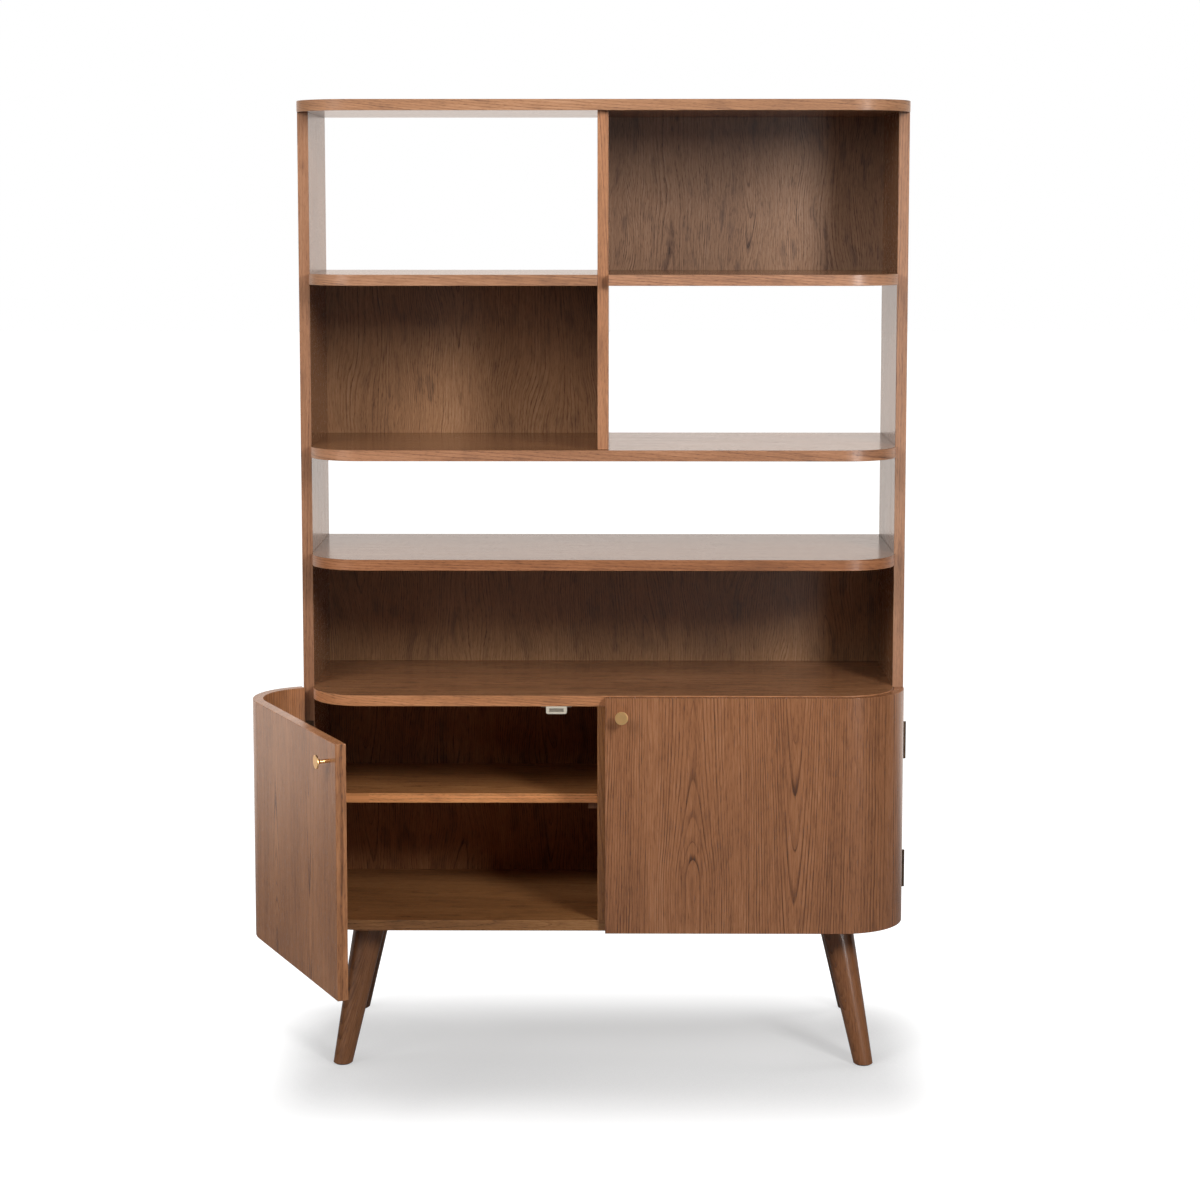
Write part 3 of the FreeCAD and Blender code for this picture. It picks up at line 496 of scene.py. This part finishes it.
def plastic(name, colour, rough):
    """A moulded plastic with a faint orange-peel surface and a slightly uneven colour."""
    tree = finish(name)
    fine = even(tree, PLASTIC_PEEL, 2.0)
    broad = even(tree, PLASTIC_TONE, 2.0)
    tree.put(tree.shader.inputs["Base Color"], tree.choose(broad, shade(colour, 0.93), colour))
    tree.put(tree.shader.inputs["Roughness"], tree.math("MULTIPLY_ADD", broad, 0.1, rough - 0.05))
    tree.bump(fine, 0.00004, 0.3)
    return tree.owner


def plain_wood(name, colour, grain_of):
    """Unfinished or stained solid wood in small hidden pieces."""
    tree = finish(name)
    tone, pores, streaks, _ = figure(tree, grain_of(tree), TURNED, seed_of(name))
    stops = [(0.0, shade(colour, 0.55)), (0.6, colour), (1.0, shade(colour, 1.2))]
    tree.put(tree.shader.inputs["Base Color"], tree.ramp(tone, stops))
    tree.put(tree.shader.inputs["Roughness"], tree.math("MULTIPLY_ADD", streaks, 0.1, 0.55))
    tree.bump(pores, 0.0001, 0.4)
    return tree.owner


# ------------------------------------------------------------------ which finish each node gets
def dress(node, material):
    """Gives the node the material, on all its faces."""
    mesh = frame["nodes"][node].data
    if not mesh.materials:
        mesh.materials.append(material)
    for index in range(len(mesh.materials)):
        mesh.materials[index] = material


# The long boards, each with the board whose outline its rounded corners share.
LONG_BOARDS = {
    "top_board": "top_board",
    "shelf_middle": "shelf_middle",
    "shelf_lower": "shelf_lower",
    "cabinet_top": "cabinet_top",
    "cabinet_bottom": "cabinet_bottom",
    "shelf_upper_left": "shelf_middle",
    "shelf_upper_right": "shelf_middle",
    "cabinet_shelf_left": "shelf_middle",
    "cabinet_shelf_right": "shelf_middle",
}
UPRIGHT_BOARDS = ("side_panel_left", "side_panel_right", "centre_divider", "cabinet_partition")
BACK_PANELS = {
    "back_panel_upper_right": (UPPER_BACK, BACK_ROUGH),
    "back_panel_middle_left": (MIDDLE_BACK, BACK_ROUGH),
    "back_panel_lower": (BACK, BACK_ROUGH),
    "back_panel_cabinet": (BACK, CABINET_BACK_ROUGH),
}
DOOR_LOOKS = {"left": LEFT_DOOR, "right": RIGHT_DOOR}


def dress_boards():
    for node, outline in LONG_BOARDS.items():
        radius = TOP_CORNER if node == "top_board" else SHELF_CORNER
        dress(node, veneer(node, long_grain(outline, radius), LONG, LONG_ROUGH))
    for node in UPRIGHT_BOARDS:
        dress(node, veneer(node, upright_grain("Y"), UPRIGHT))
    for node, (look, rough) in BACK_PANELS.items():
        dress(node, veneer(node, upright_grain("X"), look, rough))
    for side, look in DOOR_LOOKS.items():
        door = "door_" + side
        dress(door, veneer(door, door_grain(side), look))
        for end in ("front", "rear"):
            leg = f"leg_{end}_{side}"
            dress(leg, veneer(leg, leg_grain(leg), TURNED))


def dress_fittings():
    bronze = metal("hinge_bronze_finish", srgb(96, 78, 64), 0.42, 0.45)
    bronze_screw = metal("screw_bronze_finish", srgb(104, 84, 68), 0.36, 0.4)
    zinc = metal("zinc_finish", srgb(196, 198, 198), 0.34, 0.2)
    brass = metal("knob_brass_finish", srgb(255, 208, 144), 0.32, 0.06)
    magnet = metal("magnet_finish", srgb(178, 170, 156), 0.4, 0.2)
    cream = plastic("catch_finish", srgb(214, 204, 186), 0.38)
    brown = plastic("glide_finish", srgb(60, 54, 50), 0.6)
    cleats = plain_wood("cleat_finish", srgb(140, 98, 70), upright_grain("X"))
    beech = plain_wood("dowel_finish", srgb(206, 172, 128), upright_grain("X"))
    # The first start that fits a node's name says its material.
    starts = [
        ("door_screws", bronze_screw), ("hinge_frame_screws", bronze_screw), ("hinge_", bronze),
        ("knob_screw", zinc), ("knob_", brass), ("leg_plate", zinc), ("leg_bolts", zinc),
        ("back_panel_screws", zinc), ("cleat_screws", zinc), ("catch_screws", zinc),
        ("strike_plate", zinc), ("catch_housing", cream), ("catch_magnet", magnet),
        ("foot_glides", brown), ("shelf_cleat", cleats), ("dowels", beech),
    ]
    for node in frame["nodes"]:
        for start, material in starts:
            if node.startswith(start):
                dress(node, material)
                break


dress_boards()
dress_fittings()


# ------------------------------------------------------------------ studio
FLOOR_HALF = 30.0
FLOOR_COLOUR = (0.35, 0.35, 0.35, 1.0)
FLOOR_GLOW = 0.725            # added for the camera and for reflections only
FLOOR_DARKEST = 0.62          # the least share of the glow that is left under the part
OPEN_GLOW = 1.1               # the glow away from the part, where no shadow is kept
SHADOW_SIDES = (0.50, 0.74)   # the shadow fades out between these distances to either side,
SHADOW_BACK = (0.0, 0.45)     # between these places at the back,
SHADOW_FRONT = (-0.80, -0.28)  # and between these in front
SHADOW_SIZE = 2.5             # how far off things shade the floor's glow
SWEEP_FRONT = (0.5, 2.5)      # reflections show the glowing sweep from here backwards
WHITE = (1.0, 1.0, 1.0, 1.0)
WARM_WHITE = (1.0, 0.90, 0.83, 1.0)  # colour of the floor and backdrop in reflections


def make_floor():
    """A plain floor that shows white to the camera, with the part's soft shadow."""
    corners = [(-FLOOR_HALF, -FLOOR_HALF, 0), (FLOOR_HALF, -FLOOR_HALF, 0),
               (FLOOR_HALF, FLOOR_HALF, 0), (-FLOOR_HALF, FLOOR_HALF, 0)]
    mesh = bpy.data.meshes.new("floor")
    mesh.from_pydata(corners, [], [(0, 1, 2, 3)])
    floor = bpy.data.objects.new("floor", mesh)
    bpy.context.scene.collection.objects.link(floor)
    tree = finish("floor_finish")
    tree.put(tree.shader.inputs["Base Color"], FLOOR_COLOUR)
    tree.put(tree.shader.inputs["Roughness"], 0.9)
    tree.put(tree.shader.inputs["Specular IOR Level"], 0.0)
    x, y, _ = tree.split(tree.place())
    kept = tree.math("MULTIPLY", tree.span(tree.math("ABSOLUTE", x), *SHADOW_SIDES, 1.0, 0.0),
                     tree.span(y, *SHADOW_BACK, 1.0, 0.0))
    kept = tree.math("MULTIPLY", kept, tree.span(y, *SHADOW_FRONT))
    open_air = tree.node("ShaderNodeAmbientOcclusion", samples=8)
    open_air.inputs["Distance"].default_value = SHADOW_SIZE
    share = tree.math("SMOOTH_MAX", open_air.outputs["AO"], FLOOR_DARKEST, 0.1)
    shaded = tree.math("MULTIPLY", share, FLOOR_GLOW)
    glow = tree.math("MULTIPLY_ADD", kept, tree.math("SUBTRACT", shaded, OPEN_GLOW), OPEN_GLOW)
    path = tree.node("ShaderNodeLightPath").outputs
    mirrored = tree.math("MAXIMUM", path["Is Glossy Ray"], path["Is Transmission Ray"])
    tree.put(tree.shader.inputs["Emission Color"], tree.choose(mirrored, WHITE, WARM_WHITE))
    behind = tree.math("MULTIPLY", mirrored, tree.span(y, *SWEEP_FRONT))
    seen = tree.math("MAXIMUM", path["Is Camera Ray"], behind)
    tree.put(tree.shader.inputs["Emission Strength"], tree.math("MULTIPLY", glow, seen))
    mesh.materials.append(tree.owner)


# How bright the room is, in front of the part and behind it, where the pale backdrop is.
ROOM_LIGHT = (0.0, 0.10)      # as soft light
ROOM_MIRRORED = (0.8, 1.06)   # in reflections
# Directions by how far they point back, from -1 to 1.
LIGHT_CHANGES = (-0.3, 0.3)   # the soft light goes from the front's to the back's
FRONT_ENDS = (-0.6, -0.2)     # the front fades out in reflections
BACK_STARTS = (0.5, 0.95)     # the backdrop comes in


def make_world():
    """White to the camera, and a dim room for soft light and for reflections."""
    world = bpy.data.worlds.new("studio")
    bpy.context.scene.world = world
    tree = Tree(world)
    background = tree.tree.nodes["Background"]
    _, back, _ = tree.split(tree.node("ShaderNodeTexCoord").outputs["Generated"])
    path = tree.node("ShaderNodeLightPath").outputs
    front_bright, back_bright = ROOM_MIRRORED
    soft = tree.span(back, *LIGHT_CHANGES, *ROOM_LIGHT)
    mirrored = tree.math("MAXIMUM", tree.span(back, *FRONT_ENDS, front_bright, 0.0),
                         tree.span(back, *BACK_STARTS, 0.0, back_bright))
    mirrors = tree.math("MAXIMUM", path["Is Glossy Ray"], path["Is Transmission Ray"])
    level = tree.math("MULTIPLY_ADD", mirrors, tree.math("SUBTRACT", mirrored, soft), soft)
    level = tree.math("MAXIMUM", level, path["Is Camera Ray"])
    tree.put(background.inputs["Color"], tree.choose(mirrors, WHITE, WARM_WHITE))
    tree.put(background.inputs["Strength"], level)


SOFTBOXES = {
    # name: (place, width, height, watts)
    "tall_right": ((1.80, -2.8, 2.50), 0.75, 1.1, 76),
    "strip_right": ((1.80, -2.8, 1.20), 0.6, 1.3, 50),
    "strip_left": ((-2.4, -2.4, 1.25), 0.8, 1.0, 10),
    "near_left": ((-1.3, -1.9, 2.3), 0.7, 0.9, 18),
    "wide_left": ((-2.4, -2.4, 2.2), 0.8, 1.2, 21),
    "above": ((0.0, -1.8, 3.0), 1.5, 0.8, 7),
    "left": ((-3.0, -0.6, 1.7), 1.0, 1.2, 14),
    "right": ((2.9, 0.9, 1.8), 1.0, 1.2, 13),
    "behind": ((0.5, 3.0, 2.0), 1.6, 1.2, 30),
    "over": ((0.0, 0.1, 4.2), 1.4, 0.8, 14),
}
# These don't show in the lacquer, where from some sides they would glare.
NOT_MIRRORED = ("tall_right", "near_left", "wide_left", "left", "right", "behind", "over")
# These show in the lacquer only, as the soft gleam on the rounded corners.
ONLY_MIRRORED = ("strip_right", "strip_left")
AIM = (0.0, 0.0, 1.1)


def softbox(name, place, width, height, watts):
    """A rectangular lamp that faces the part's middle."""
    lamp = bpy.data.lights.new(name, "AREA")
    lamp.shape = "RECTANGLE"
    lamp.size, lamp.size_y = width, height
    lamp.energy = watts
    holder = bpy.data.objects.new(name, lamp)
    holder.visible_glossy = name not in NOT_MIRRORED
    holder.visible_diffuse = name not in ONLY_MIRRORED
    holder.location = place
    holder.rotation_mode = "QUATERNION"
    holder.rotation_quaternion = (Vector(AIM) - Vector(place)).to_track_quat("-Z", "Y")
    bpy.context.scene.collection.objects.link(holder)


make_world()
make_floor()
for name, facts in SOFTBOXES.items():
    softbox(name, *facts)

# ------------------------------------------------------------------ camera
CAMERA_PLACE = (0.0246, -5.0966, 1.585)
CAMERA_DOWN = math.radians(6.206)
CAMERA_LEFT = math.radians(0.35)
CAMERA_SENSOR = 36.0       # millimetres, as the lens is
CAMERA_LENS = 81.46
CAMERA_SHIFT = -0.08       # keeps the uprights near to parallel, and the part in every other view

camera = bpy.data.cameras.new("camera")
camera.sensor_width = CAMERA_SENSOR
camera.lens = CAMERA_LENS
camera.shift_y = CAMERA_SHIFT
viewer = bpy.data.objects.new("camera", camera)
viewer.location = CAMERA_PLACE
viewer.rotation_euler = (math.pi / 2 - CAMERA_DOWN, 0.0, CAMERA_LEFT)
bpy.context.scene.collection.objects.link(viewer)
bpy.context.scene.camera = viewer
bpy.context.scene.view_settings.view_transform = "Standard"
